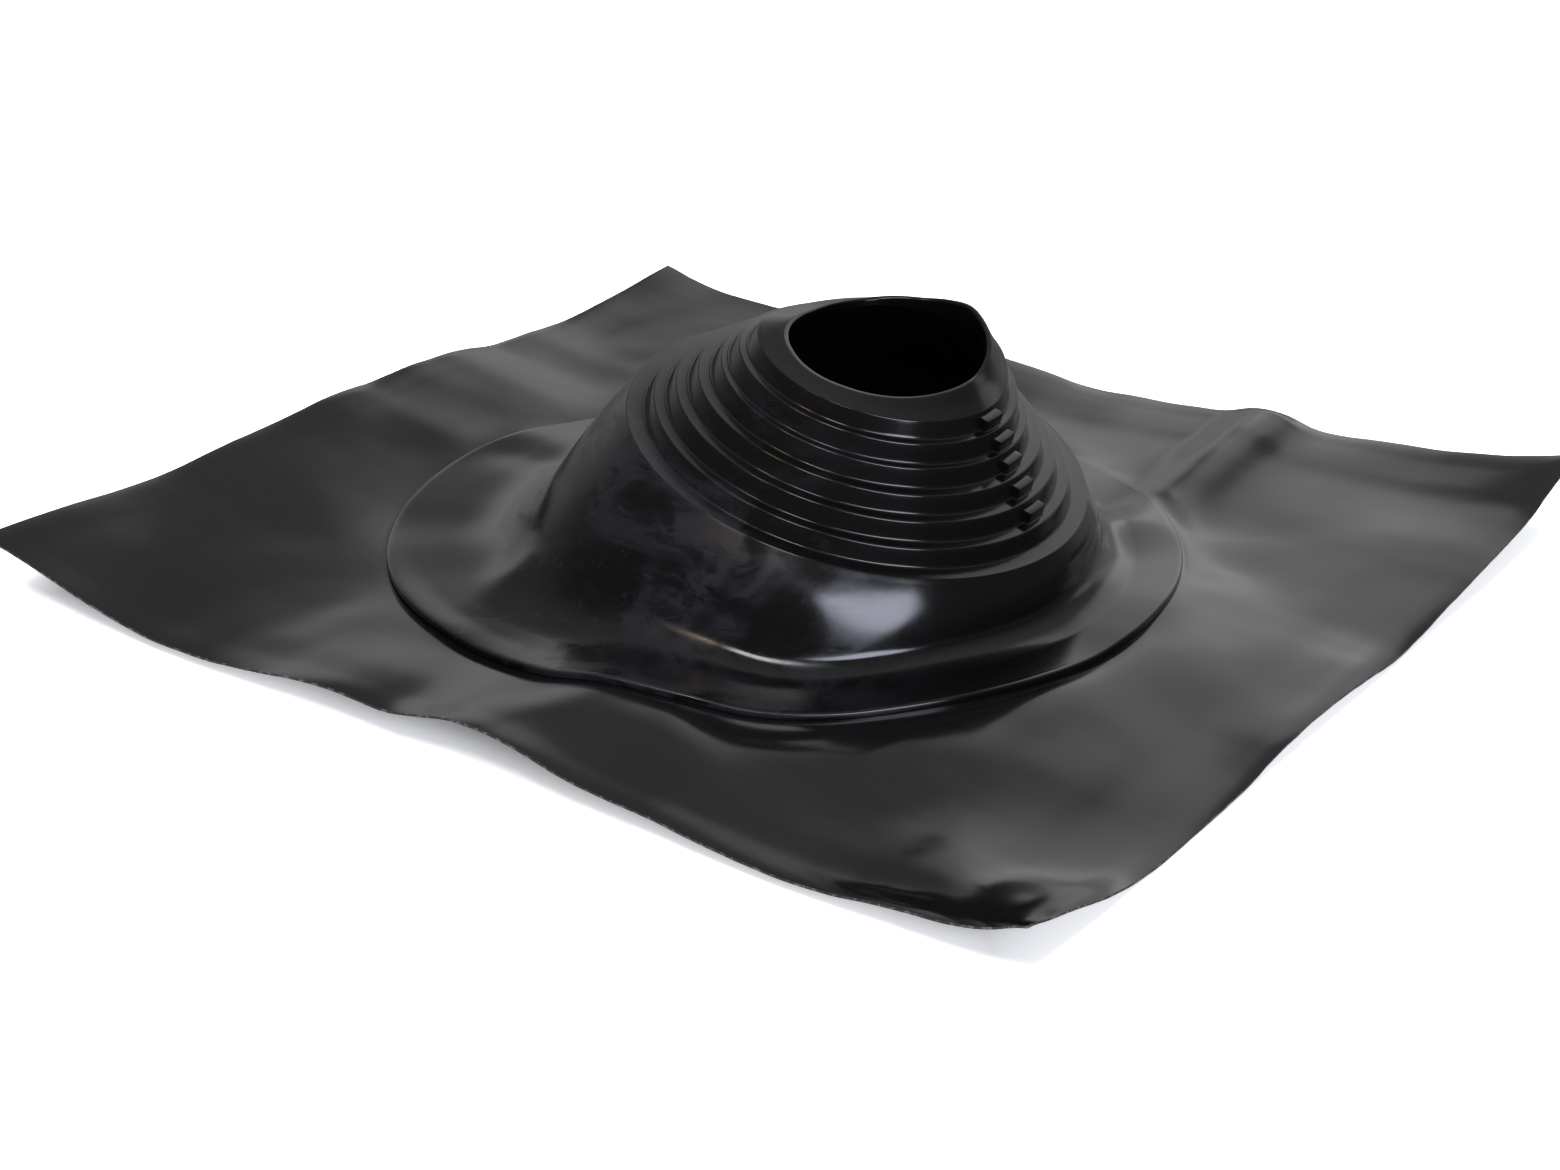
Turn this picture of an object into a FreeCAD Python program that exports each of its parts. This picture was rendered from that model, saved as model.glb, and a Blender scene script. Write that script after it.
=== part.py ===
import FreeCAD, Part
import math
import os
from FreeCAD import Vector as V

# Angled roof pipe flashing: a one-piece moulded rubber boot with a stepped
# cone, bonded on one large soft metal sheet that is dressed over the roof.
# Millimetres, +Z up, +X is the way the stepped cone leans.
# Origin: the middle of the sheet's plan, at the level it lies on.

# ---------------------------------------------------------------- dimensions
SHEET_T = 1.0                     # sheet thickness with its coating
CORNER_L = (-248.5, -236.0)       # plan corners of the hand-cut sheet
CORNER_F = (249.0, -242.5)
CORNER_R = (250.0, 238.0)
CORNER_B = (-250.0, 242.5)
HOLE_R = 120.0                    # hole in the sheet below the boot
HOLE_X = 5.0

BOOT_X, BOOT_Y = -3.0, -12.1      # centre of the boot's flange
FLANGE_R = 168.0                  # outer radius of the flange
FLANGE_T = 2.8                    # flange thickness
WALL_T = 2.5                      # rubber wall

LEAN_DEG = 13.04                  # tilt of the stepped cone's axis from +Z
LEAN_AZ_DEG = -2.85               # direction of the lean from +X
LIP_C = (31.9, -12.1, 62.2)       # centre of the dome's top lip

RING_R = (97.3, 87.4, 79.7, 71.9, 63.9, 58.0, 51.75)   # top edge of each step
RING_H = (0.0, 7.2, 14.7, 21.9, 29.4, 37.0, 43.5)      # height along the axis
RING_BATTER = 2.8                 # how much a step's wall narrows as it rises
RING_ROUND = 0.9                  # rounding of the step edges

MOUTH_R = 40.0                    # mouth, sized for the thinnest pipe
MOUTH_H = 50.0                    # rim height along the axis
MOUTH_RIM = 1.8                   # width of the rim
MOUTH_LEN = 3.6                   # length of the mouth's straight wall

FOOT_X = 16.0                     # middle of the dome's foot
# The dome every thirty degrees from -180: radius of its foot, height of the foot above
# the flange, radius where the foot has run into the flange, swelling per length of wall.
FOOT_R = (116.5, 120.3, 120.8, 119.0, 121.0, 116.5, 116.0, 117.0, 117.0, 117.8, 120.3, 120.3)
FOOT_H = (16.0, 17.0, 15.0, 9.5, 7.0, 7.0, 8.5, 9.0, 10.0, 12.0, 15.0, 17.0)
END_R = (160.0, 159.0, 153.0, 138.0, 133.0, 131.0, 130.0, 131.0, 134.0, 138.0, 146.0, 155.0)
BULGE = (0.02, 0.027, 0.034, 0.038, 0.045, 0.05, 0.05, 0.05, 0.05, 0.04, 0.035, 0.03)

TAB_W, TAB_OUT, TAB_H = 12.0, 1.9, 4.8      # the small moulded tabs
TAB_DEG = (4.5, 5.0, 6.0, 6.0, 3.0)         # their place round the cone

# Heights of the sheet's underside along its four edges, at even steps.
EDGE_LF = (22.5, 20.3, 16.7, 12.9, 9.4, 6.7, 5.1, 4.6, 4.8, 6.4, 8.6, 11.0, 12.4, 12.5,
           12.1, 14.7, 18.2, 18.6, 16.5, 13.4, 10.8, 9.4, 8.6, 6.9, 5.6, 4.8, 4.6, 5.6,
           8.2, 10.2, 11.6, 15.4, 21.5)
EDGE_FR = (21.5, 17.3, 13.6, 9.4, 5.2, 2.2, 0.7, 0.1, 0.2, 0.7, 1.4, 2.6, 4.4, 6.2, 7.0,
           7.0, 6.6, 5.8, 4.6, 3.2, 2.6, 3.6, 5.2, 7.0, 8.9, 10.9, 12.4, 13.5, 15.2,
           18.0, 22.6, 26.6, 30.0)
EDGE_BR = (7.9, 4.2, 1.6, 0.4, 0.2, 0.6, 1.3, 2.4, 3.6, 4.8, 5.6, 6.0, 6.0, 5.6, 5.0, 4.0,
           2.2, 2.4, 3.9, 4.8, 6.6, 8.6, 13.6, 14.3, 10.8, 11.2, 13.2, 14.8, 16.4, 19.0,
           21.8, 26.0, 30.0)
EDGE_LB = (22.5, 21.6, 20.7, 19.5, 18.0, 16.4, 15.2, 14.6, 14.8, 15.3, 15.6, 15.6, 15.7,
           16.4, 17.0, 16.4, 15.2, 15.1, 15.1, 13.9, 12.6, 10.2, 7.4, 6.2, 5.2, 3.7, 3.0,
           3.2, 3.8, 4.5, 5.6, 7.0, 7.9)

# Height of the flange's top along its rim, every ten degrees from -180.
RIM_Z = (9.0, 8.3, 7.6, 7.0, 7.8, 8.6, 10.0, 11.5, 12.3, 15.0, 19.7, 18.3, 14.0, 13.4,
         14.9, 15.8, 15.7, 15.2, 16.5, 17.0, 15.7, 14.3, 14.0, 13.8, 10.3, 9.5, 11.0, 11.0,
         10.5, 10.0, 9.0, 8.0, 6.5, 5.2, 6.0, 8.8)

# Ridges: start, end, height, half width.
RIDGES = ((111.0, 67.0, 92.0, 262.0, 5.0, 12.0),
          (-172.0, -5.0, -268.0, -12.0, 3.2, 14.0))

# How the sheet bows between the flange and its edge, every ten degrees from -180,
# as one, two and three waves.
BOW_1 = (4.1, 4.7, 5.6, 6.6, 5.9, 4.3, 3.9, 2.7, 3.2, 3.0, 3.8, 4.8, 5.9, 7.2, 8.2, 8.6, 8.0,
         5.0, 3.9, 2.8, 2.2, 2.0, 3.6, 4.8, 4.7, 2.9, -0.2, -1.9, -1.9, -1.6, -1.0, -0.1, 1.4,
         3.4, 5.7, 4.2)
BOW_2 = (-0.7, -0.4, -0.2, 0.0, 0.2, 0.2, -0.3, -0.2, -0.2, 0.0, 0.3, 0.4, 0.4, 0.3, -0.2,
         -0.8, 0.2, 0.5, -0.4, -2.3, -3.0, -3.0, -3.0, -1.5, -1.9, -1.1, -1.8, -2.2, -1.8, -1.2,
         -0.8, -0.6, -0.9, -1.0, -0.2, -0.5)
BOW_3 = (-0.3, -0.2, -0.3, -0.4, -0.5, -0.6, -0.2, -0.3, 0.0, -0.2, 0.0, 0.0, 0.0, 0.0, -0.2,
         -0.2, 1.1, 1.5, 0.6, 0.4, 0.2, -1.0, -0.7, -1.5, -0.9, -0.6, -0.6, -0.2, -0.4, -0.4,
         -0.4, -0.5, -0.2, 0.1, -0.1, -0.4)
# Soft creases of the sheet: start, end, height, half width.
CREASES = ((123.0, 75.0, 104.0, 255.0, 2.2, 9.0), (111.0, 67.0, 92.0, 255.0, 0.6, 8.0),
           (147.0, 69.0, 253.0, 36.0, 0.7, 12.0), (150.0, 52.0, 250.0, 18.0, 0.3, 12.0),
           (205.0, 60.0, 240.0, 200.0, 1.2, 18.0), (225.0, 170.0, 235.0, 215.0, -0.6, 16.0),
           (-165.0, 98.0, -247.0, 112.0, -0.4, 12.0), (-168.0, 75.0, -247.0, 89.0, -0.3, 12.0),
           (-112.0, -163.0, -114.0, -211.0, -0.4, 8.0), (145.0, -181.0, 149.0, -88.0, 0.3, 6.0),
           (133.0, -176.0, 137.0, -84.0, 0.4, 6.0), (160.0, -176.0, 164.0, -84.0, 0.6, 8.0),
           (178.0, -228.0, 211.0, -222.0, -1.5, 9.0), (211.0, -222.0, 238.0, -195.0, 0.7, 9.0),
           (165.0, -205.0, 228.0, -165.0, 0.2, 14.0), (60.0, -190.0, 110.0, -215.0, 0.3, 12.0),
           (70.0, -200.0, 130.0, -160.0, 0.4, 14.0))

GRID = 50                         # spans of the sheet's surface each way
UNDER_Z = 8.2                     # mean height of the sheet under the boot


# ------------------------------------------------------------- sheet heights
def spline(vals, t, closed):
    n = len(vals)
    if closed:
        p = t * n
        i = int(math.floor(p))
        f = p - i
        a, b, c, d = (vals[(i + k) % n] for k in (-1, 0, 1, 2))
    else:
        p = min(max(t, 0.0), 1.0) * (n - 1)
        i = min(int(p), n - 2)
        f = p - i
        a, b, c, d = (vals[min(max(i + k, 0), n - 1)] for k in (-1, 0, 1, 2))
    return b + 0.5 * f * (c - a + f * (2 * a - 5 * b + 4 * c - d + f * (3 * (b - c) + d - a)))


def smooth(t):
    t = min(max(t, 0.0), 1.0)
    return t * t * (3 - 2 * t)


def features(x, y):
    z = 0.0
    for x0, y0, x1, y1, amp, half in RIDGES:
        dx, dy = x1 - x0, y1 - y0
        ln = math.hypot(dx, dy)
        along = ((x - x0) * dx + (y - y0) * dy) / ln
        off = ((x - x0) * dy - (y - y0) * dx) / ln
        z += amp * smooth(along / 45.0 + 0.5) * math.exp(-0.5 * (off / half) ** 2)
    return z


def crease(x, y, x0, y0, x1, y1, amp, half):
    """A long soft ridge, or a groove for a height below 0, that fades at both ends."""
    dx, dy = x1 - x0, y1 - y0
    ln = math.hypot(dx, dy)
    along = ((x - x0) * dx + (y - y0) * dy) / ln
    off = ((x - x0) * dy - (y - y0) * dx) / ln
    if abs(off) > 5 * half or along < -20.0 or along > ln + 20.0:
        return 0.0
    return (amp * smooth(along / 40.0 + 0.5) * smooth((ln - along) / 40.0 + 0.5)
            * math.exp(-0.5 * (off / half) ** 2))


def relief(x, y, t, s):
    """Waves and creases between the flange, where s is 0, and the edge, where it is 1."""
    g = s * (1 - s)
    z = 4 * g * spline(BOW_1, t, True) + 10 * g * (1 - 2 * s) * spline(BOW_2, t, True)
    z += 16 * g * (1 - 5 * s + 5 * s * s) * spline(BOW_3, t, True)
    fade = smooth(s / 0.12) * smooth((1 - s) / 0.08)
    if fade > 0:
        z += fade * sum(crease(x, y, *c) for c in CREASES)
    return z


def plan(u, v):
    a, b, c, d = CORNER_L, CORNER_F, CORNER_R, CORNER_B
    return tuple((1 - v) * ((1 - u) * a[i] + u * b[i]) + v * ((1 - u) * d[i] + u * c[i])
                 for i in (0, 1))


def unplan(x, y):
    u, v = (x + 250.0) / 500.0, (y + 240.0) / 480.0
    for _ in range(8):
        px, py = plan(u, v)
        u += (x - px) / 498.0
        v += (y - py) / 480.0
    return min(max(u, 0.0), 1.0), min(max(v, 0.0), 1.0)


def edge_net(u, v):
    """Surface spanned by the four edge profiles, without the ridges."""
    def prof(vals, t, uu, vv):
        return spline(vals, t, False) - features(*plan(uu, vv))
    lf, br = prof(EDGE_LF, u, u, 0), prof(EDGE_BR, u, u, 1)
    lb, fr = prof(EDGE_LB, v, 0, v), prof(EDGE_FR, v, 1, v)
    c00, c10 = prof(EDGE_LF, 0, 0, 0), prof(EDGE_LF, 1, 1, 0)
    c01, c11 = prof(EDGE_BR, 0, 0, 1), prof(EDGE_BR, 1, 1, 1)
    return ((1 - v) * lf + v * br + (1 - u) * lb + u * fr
            - (1 - u) * (1 - v) * c00 - u * (1 - v) * c10 - (1 - u) * v * c01 - u * v * c11)


SIDES = ((CORNER_L, CORNER_F), (CORNER_F, CORNER_R), (CORNER_B, CORNER_R), (CORNER_L, CORNER_B))


def way_out(x, y, r):
    """0 at the flange's rim, 1 at the sheet's edge, smooth between."""
    near = 0.0
    for (ax, ay), (bx, by) in SIDES:
        ex, ey = bx - ax, by - ay
        d = abs(ex * (y - ay) - ey * (x - ax)) / math.hypot(ex, ey)
        if d < 1e-4:
            return 1.0
        near += d ** -3
    return (r - FLANGE_R) / (r - FLANGE_R + near ** (-1 / 3))


def sheet_z(x, y):
    """Height of the sheet's underside."""
    dx, dy = x - BOOT_X, y - BOOT_Y
    r = math.hypot(dx, dy)
    if r < 1.0:
        dx, r = 1.0, 1.0
    cx, cy = dx / r, dy / r
    rx, ry = BOOT_X + FLANGE_R * cx, BOOT_Y + FLANGE_R * cy
    turn = (math.degrees(math.atan2(cy, cx)) + 180.0) / 360.0
    z_rim = spline(RIM_Z, turn, True)
    z_rim -= FLANGE_T + SHEET_T + features(rx, ry)
    if r < FLANGE_R:
        k = (r / FLANGE_R) ** 2
        z = UNDER_Z + (z_rim - UNDER_Z) * k + features(x, y) * k
    else:
        s = way_out(x, y, r)
        w = 0.55 * s + 0.45 * s * s * (3 - 2 * s)
        z = z_rim + (edge_net(*unplan(x, y)) - z_rim) * w + features(x, y) + relief(x, y, turn, s)
    return 0.5 * (z + math.sqrt(z * z + 1.0))


rows = []
for i in range(GRID + 1):
    row = []
    for j in range(GRID + 1):
        x, y = plan(i / GRID, j / GRID)
        row.append([x, y, sheet_z(x, y)])
    rows.append(row)
low = min(p[2] for row in rows for p in row)
for row in rows:
    for p in row:
        p[2] -= low
surf = Part.BSplineSurface()
surf.interpolate([[V(*p) for p in row] for row in rows])
u0, u1, v0, v1 = surf.bounds()
dip = min(surf.value(u0 + (u1 - u0) * i / 240, v0 + (v1 - v0) * j / 240).z
          for i in range(241) for j in range(241))
under = surf.toShape()
under.translate(V(0, 0, -dip))
low += dip


def lifted(dz):
    f = under.copy()
    f.translate(V(0, 0, dz))
    return f


def flange_top(x, y):
    return sheet_z(x, y) - low + SHEET_T + FLANGE_T


# --------------------------------------------------------------------- sheet
sheet = under.extrude(V(0, 0, SHEET_T))
sheet = sheet.cut(Part.makeCylinder(HOLE_R, 120, V(HOLE_X, BOOT_Y, -40)))

# ---------------------------------------------------------------- boot: dome
az, tilt = math.radians(LEAN_AZ_DEG), math.radians(LEAN_DEG)
N = V(math.sin(tilt) * math.cos(az), math.sin(tilt) * math.sin(az), math.cos(tilt))
E1 = V(math.cos(tilt) * math.cos(az), math.cos(tilt) * math.sin(az), -math.sin(tilt))
E2 = N.cross(E1)
C0 = V(*LIP_C)


def ring_point(r, h, th):
    return C0 + N * h + E1 * (r * math.cos(th)) + E2 * (r * math.sin(th))


def closed_wire(pts):
    c = Part.BSplineCurve()
    c.interpolate(pts, PeriodicFlag=True)
    return Part.Wire([c.toShape()])


COUNT = 48
ANGLES = [2 * math.pi * k / COUNT for k in range(COUNT)]


def around(vals, th):
    return spline(vals, math.degrees(th) / 360.0 + 0.5, True)


def skin(lip_r, lip_h, inset, drop, shrink, end_drop, base_out):
    """One closed skin of the dome, from below the flange up to the lip."""
    def foot(th):
        r = around(FOOT_R, th) - inset
        x, y = FOOT_X + r * math.cos(th), BOOT_Y + r * math.sin(th)
        return V(x, y, flange_top(x, y) + around(FOOT_H, th) - drop)

    def end(th):
        r = around(END_R, th) - shrink
        x, y = FOOT_X + r * math.cos(th), BOOT_Y + r * math.sin(th)
        return V(x, y, flange_top(x, y) - end_drop)

    def swell(th, run):
        out = V(math.cos(th), math.sin(th), 0)
        out = (out - run * (out.dot(run) / run.dot(run))).normalize()
        return out * (around(BULGE, th) * run.Length)

    def wall(th, s):
        p = ring_point(lip_r, lip_h, th)
        run = foot(th) - p
        return p + run * s + swell(th, run) * math.sin(math.pi * s)

    def fillet(th, t):
        """From the foot to the flange, starting along the wall."""
        q, e = foot(th), end(th)
        run = q - ring_point(lip_r, lip_h, th)
        run = run - swell(th, run) * math.pi
        lead = math.hypot(run.x, run.y) * (q.z - e.z - 0.8) / -run.z
        if run.x * math.cos(th) + run.y * math.sin(th) < 0:
            lead = 0.0
        lead = min(max(lead, 1.5), 0.45 * math.hypot(e.x - q.x, e.y - q.y))
        m = V(q.x + lead * math.cos(th), q.y + lead * math.sin(th), e.z + 0.8)
        return q * ((1 - t) ** 2) + m * (2 * t * (1 - t)) + e * (t * t)

    def below(th):
        e = end(th)
        return V(e.x + 3.5 * math.cos(th), e.y + 3.5 * math.sin(th), e.z - 2.2)

    def base(th):
        r = around(END_R, th) - shrink + base_out
        return V(FOOT_X + r * math.cos(th), BOOT_Y + r * math.sin(th), -25)

    wires = [closed_wire([base(a) for a in ANGLES]), closed_wire([below(a) for a in ANGLES])]
    wires += [closed_wire([fillet(a, t) for a in ANGLES]) for t in (1.0, 0.8, 0.6, 0.4, 0.2)]
    wires += [closed_wire([wall(a, s) for a in ANGLES]) for s in (1.0, 0.85, 0.7, 0.55, 0.4, 0.27, 0.13, 0.0)]
    return Part.makeLoft(wires, True, True)


outer = skin(RING_R[0] - 0.4, -1.3, 0.0, 0.0, 0.0, 0.0, 6.0)
inner = skin(RING_R[0] - 3.2, -4.6, 2.4, 0.6, 4.5, 2.4, 5.5)


# -------------------------------------------------------- boot: stepped cone
def rounded_face(poly):
    """Closed profile in the plane of radius and height; poly holds (r, h, rounding)."""
    n = len(poly)
    pts = [V(p[0], 0, p[1]) for p in poly]
    runs = []
    for i in range(n):
        a, b, c = pts[i - 1], pts[i], pts[(i + 1) % n]
        rad = poly[i][2]
        if rad <= 0:
            runs.append((b, None, b))
            continue
        u, w = (a - b).normalize(), (c - b).normalize()
        half = math.acos(max(-1.0, min(1.0, u.dot(w)))) / 2
        d = rad / math.tan(half)
        mid = b + (u + w).normalize() * (rad / math.sin(half) - rad)
        runs.append((b + u * d, mid, b + w * d))
    edges = []
    for i in range(n):
        s, m, e = runs[i]
        if m is not None:
            edges.append(Part.Arc(s, m, e).toShape())
        nxt = runs[(i + 1) % n][0]
        if (nxt - e).Length > 1e-6:
            edges.append(Part.LineSegment(e, nxt).toShape())
    return Part.Face(Part.Wire(edges))


def turned(poly):
    s = rounded_face(poly).revolve(V(0, 0, 0), V(0, 0, 1), 360)
    m = FreeCAD.Matrix(E1.x, E2.x, N.x, C0.x, E1.y, E2.y, N.y, C0.y,
                       E1.z, E2.z, N.z, C0.z, 0, 0, 0, 1)
    s.Placement = FreeCAD.Placement(m)
    return s


steps = []
for k in range(6):
    r_foot = RING_R[k + 1] + RING_BATTER
    steps.append((r_foot, RING_H[k], 0.6))
    steps.append((RING_R[k + 1], RING_H[k + 1], RING_ROUND))
rim_r = MOUTH_R + MOUTH_RIM
cone_out = turned([(0, -2.6, 0), (RING_R[0], -2.6, 0), (RING_R[0], 0, RING_ROUND)] + steps
                  + [(rim_r, MOUTH_H, 0.8), (0, MOUTH_H, 0)])
inside = [(r - WALL_T, h - 2.4, 0) for r, h, _ in steps]
cone_in = turned([(0, -9, 0), (RING_R[0] - 3.4, -9, 0), (RING_R[0] - 3.4, -2.4, 0)] + inside
                 + [(MOUTH_R, MOUTH_H - MOUTH_LEN, 0), (MOUTH_R, MOUTH_H + 15, 0),
                    (0, MOUTH_H + 15, 0)])

tabs = []
for k, deg in enumerate(TAB_DEG):
    th = math.radians(deg)
    r_foot = RING_R[k + 2] + RING_BATTER
    box = Part.makeBox(TAB_OUT + 3.0, TAB_W, TAB_H + 0.6, V(-3.0, -TAB_W / 2, -0.6))
    box = box.makeFillet(0.5, [e for e in box.Edges if e.BoundBox.XMin > TAB_OUT - 0.01])
    ex = E1 * math.cos(th) + E2 * math.sin(th)
    ey = N.cross(ex)
    c = C0 + N * RING_H[k + 1] + ex * r_foot
    box.Placement = FreeCAD.Placement(FreeCAD.Matrix(ex.x, ey.x, N.x, c.x, ex.y, ey.y, N.y, c.y,
                                                     ex.z, ey.z, N.z, c.z, 0, 0, 0, 1))
    tabs.append(box)

# -------------------------------------------------------------- boot: joined
flange = lifted(SHEET_T).extrude(V(0, 0, FLANGE_T))
flange = flange.common(Part.makeCylinder(FLANGE_R, 160, V(BOOT_X, BOOT_Y, -60)))
ground = lifted(SHEET_T + 0.5 * FLANGE_T).extrude(V(0, 0, -90))
dome = outer.cut(ground)
boot = flange.fuse(dome).fuse([cone_out] + tabs)
boot = boot.cut(inner).cut(cone_in)

os.makedirs("parts", exist_ok=True)
for name, shape in (("rubber_boot", boot), ("flashing_sheet", sheet)):
    solids = shape.Solids
    print(name, "solids", len(solids), "valid", shape.isValid(),
          "volume_cm3", round(shape.Volume / 1000, 2), shape.BoundBox)
    solid = max(solids, key=lambda s: s.Volume)
    solid.exportStep("parts/" + name + ".step")
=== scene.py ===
import math

import bpy
from mathutils import Matrix, Vector, noise


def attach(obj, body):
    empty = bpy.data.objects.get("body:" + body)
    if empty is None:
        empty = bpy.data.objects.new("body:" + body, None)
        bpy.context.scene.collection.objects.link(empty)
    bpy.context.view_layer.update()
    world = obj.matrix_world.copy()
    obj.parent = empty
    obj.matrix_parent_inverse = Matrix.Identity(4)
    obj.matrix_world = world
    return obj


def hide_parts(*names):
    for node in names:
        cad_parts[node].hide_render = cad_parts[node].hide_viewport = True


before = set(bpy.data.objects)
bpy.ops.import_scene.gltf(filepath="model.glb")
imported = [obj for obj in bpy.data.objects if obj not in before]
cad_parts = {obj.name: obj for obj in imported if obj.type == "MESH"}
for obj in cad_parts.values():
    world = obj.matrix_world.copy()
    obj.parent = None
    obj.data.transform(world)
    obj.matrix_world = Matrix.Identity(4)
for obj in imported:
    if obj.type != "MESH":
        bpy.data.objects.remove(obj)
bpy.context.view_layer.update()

scene = bpy.context.scene

# Millimetres in the helper functions, metres in the meshes.
MM = 0.001

# ------------------------------------------------------------- camera
cam_data = bpy.data.cameras.new("camera")
cam = bpy.data.objects.new("camera", cam_data)
scene.collection.objects.link(cam)
CAM_POS = (0.665303, -1.025623, 0.555081)
CAM_RIGHT = (0.82661126, 0.56208127, 0.02790089)
CAM_UP = (-0.2589253, 0.33582777, 0.90563646)
CAM_FWD = (-0.4996714, 0.75583355, -0.42313608)
cam.matrix_world = Matrix((
    (CAM_RIGHT[0], CAM_UP[0], -CAM_FWD[0], CAM_POS[0]),
    (CAM_RIGHT[1], CAM_UP[1], -CAM_FWD[1], CAM_POS[1]),
    (CAM_RIGHT[2], CAM_UP[2], -CAM_FWD[2], CAM_POS[2]),
    (0, 0, 0, 1)))
cam_data.sensor_fit = "HORIZONTAL"
cam_data.sensor_width = 36.0
cam_data.lens = 72.246
cam_data.clip_start = 0.02
cam_data.clip_end = 100.0
scene.camera = cam

# ------------------------------------------------------------- dimensions
SHEET_T = 1.0
CORNER_L = (-248.5, -236.0)
CORNER_F = (249.0, -242.5)
CORNER_R = (250.0, 238.0)
CORNER_B = (-250.0, 242.5)
HOLE_R, HOLE_X = 120.0, 5.0

BOOT_X, BOOT_Y = -3.0, -12.1
FLANGE_R, FLANGE_T, WALL_T = 168.0, 2.8, 2.5
LEAN_DEG, LEAN_AZ_DEG = 13.04, -2.85
LIP_C = (31.9, -12.1, 62.2)
RING_R = (97.3, 87.4, 79.7, 71.9, 63.9, 58.0, 51.75)
RING_H = (0.0, 7.2, 14.7, 21.9, 29.4, 37.0, 43.5)
RING_BATTER = 2.8
MOUTH_R, MOUTH_H, MOUTH_RIM, MOUTH_LEN = 40.0, 50.0, 1.8, 3.6
FOOT_X = 16.0
FOOT_R = (116.5, 120.3, 120.8, 119.0, 121.0, 116.5, 116.0, 117.0, 117.0, 117.8, 120.3, 120.3)
FOOT_H = (16.0, 17.0, 15.0, 9.5, 7.0, 7.0, 8.5, 9.0, 10.0, 12.0, 15.0, 17.0)
END_R = (160.0, 159.0, 153.0, 138.0, 133.0, 131.0, 130.0, 131.0, 134.0, 138.0, 146.0, 155.0)
BULGE = (0.02, 0.027, 0.034, 0.038, 0.045, 0.05, 0.05, 0.05, 0.05, 0.04, 0.035, 0.03)
TAB_W, TAB_OUT, TAB_H = 12.0, 1.9, 4.8
TAB_DEG = (4.5, 5.0, 6.0, 6.0, 3.0)

EDGE_LF = (22.5, 20.3, 16.7, 12.9, 9.4, 6.7, 5.1, 4.6, 4.8, 6.4, 8.6, 11.0, 12.4, 12.5,
           12.1, 14.7, 18.2, 18.6, 16.5, 13.4, 10.8, 9.4, 8.6, 6.9, 5.6, 4.8, 4.6, 5.6,
           8.2, 10.2, 11.6, 15.4, 21.5)
EDGE_FR = (21.5, 17.3, 13.6, 9.4, 5.2, 2.2, 0.7, 0.1, 0.2, 0.7, 1.4, 2.6, 4.4, 6.2, 7.0,
           7.0, 6.6, 5.8, 4.6, 3.2, 2.6, 3.6, 5.2, 7.0, 8.9, 10.9, 12.4, 13.5, 15.2,
           18.0, 22.6, 26.6, 30.0)
EDGE_BR = (7.9, 4.2, 1.6, 0.4, 0.2, 0.6, 1.3, 2.4, 3.6, 4.8, 5.6, 6.0, 6.0, 5.6, 5.0, 4.0,
           2.2, 2.4, 3.9, 4.8, 6.6, 8.6, 13.6, 14.3, 10.8, 11.2, 13.2, 14.8, 16.4, 19.0,
           21.8, 26.0, 30.0)
EDGE_LB = (22.5, 21.6, 20.7, 19.5, 18.0, 16.4, 15.2, 14.6, 14.8, 15.3, 15.6, 15.6, 15.7,
           16.4, 17.0, 16.4, 15.2, 15.1, 15.1, 13.9, 12.6, 10.2, 7.4, 6.2, 5.2, 3.7, 3.0,
           3.2, 3.8, 4.5, 5.6, 7.0, 7.9)
RIM_Z = (9.0, 8.3, 7.6, 7.0, 7.8, 8.6, 10.0, 11.5, 12.3, 15.0, 19.7, 18.3, 14.0, 13.4,
         14.9, 15.8, 15.7, 15.2, 16.5, 17.0, 15.7, 14.3, 14.0, 13.8, 10.3, 9.5, 11.0, 11.0,
         10.5, 10.0, 9.0, 8.0, 6.5, 5.2, 6.0, 8.8)
RIDGES = ((111.0, 67.0, 92.0, 262.0, 5.0, 12.0),
          (-172.0, -5.0, -268.0, -12.0, 3.2, 14.0))
UNDER_Z = 8.2
# How the sheet bows between the flange and its edge, every ten degrees from -180,
# as one, two and three waves.
BOW_1 = (4.1, 4.7, 5.6, 6.6, 5.9, 4.3, 3.9, 2.7, 3.2, 3.0, 3.8, 4.8, 5.9, 7.2, 8.2, 8.6, 8.0,
         5.0, 3.9, 2.8, 2.2, 2.0, 3.6, 4.8, 4.7, 2.9, -0.2, -1.9, -1.9, -1.6, -1.0, -0.1, 1.4,
         3.4, 5.7, 4.2)
BOW_2 = (-0.7, -0.4, -0.2, 0.0, 0.2, 0.2, -0.3, -0.2, -0.2, 0.0, 0.3, 0.4, 0.4, 0.3, -0.2,
         -0.8, 0.2, 0.5, -0.4, -2.3, -3.0, -3.0, -3.0, -1.5, -1.9, -1.1, -1.8, -2.2, -1.8, -1.2,
         -0.8, -0.6, -0.9, -1.0, -0.2, -0.5)
BOW_3 = (-0.3, -0.2, -0.3, -0.4, -0.5, -0.6, -0.2, -0.3, 0.0, -0.2, 0.0, 0.0, 0.0, 0.0, -0.2,
         -0.2, 1.1, 1.5, 0.6, 0.4, 0.2, -1.0, -0.7, -1.5, -0.9, -0.6, -0.6, -0.2, -0.4, -0.4,
         -0.4, -0.5, -0.2, 0.1, -0.1, -0.4)
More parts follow.
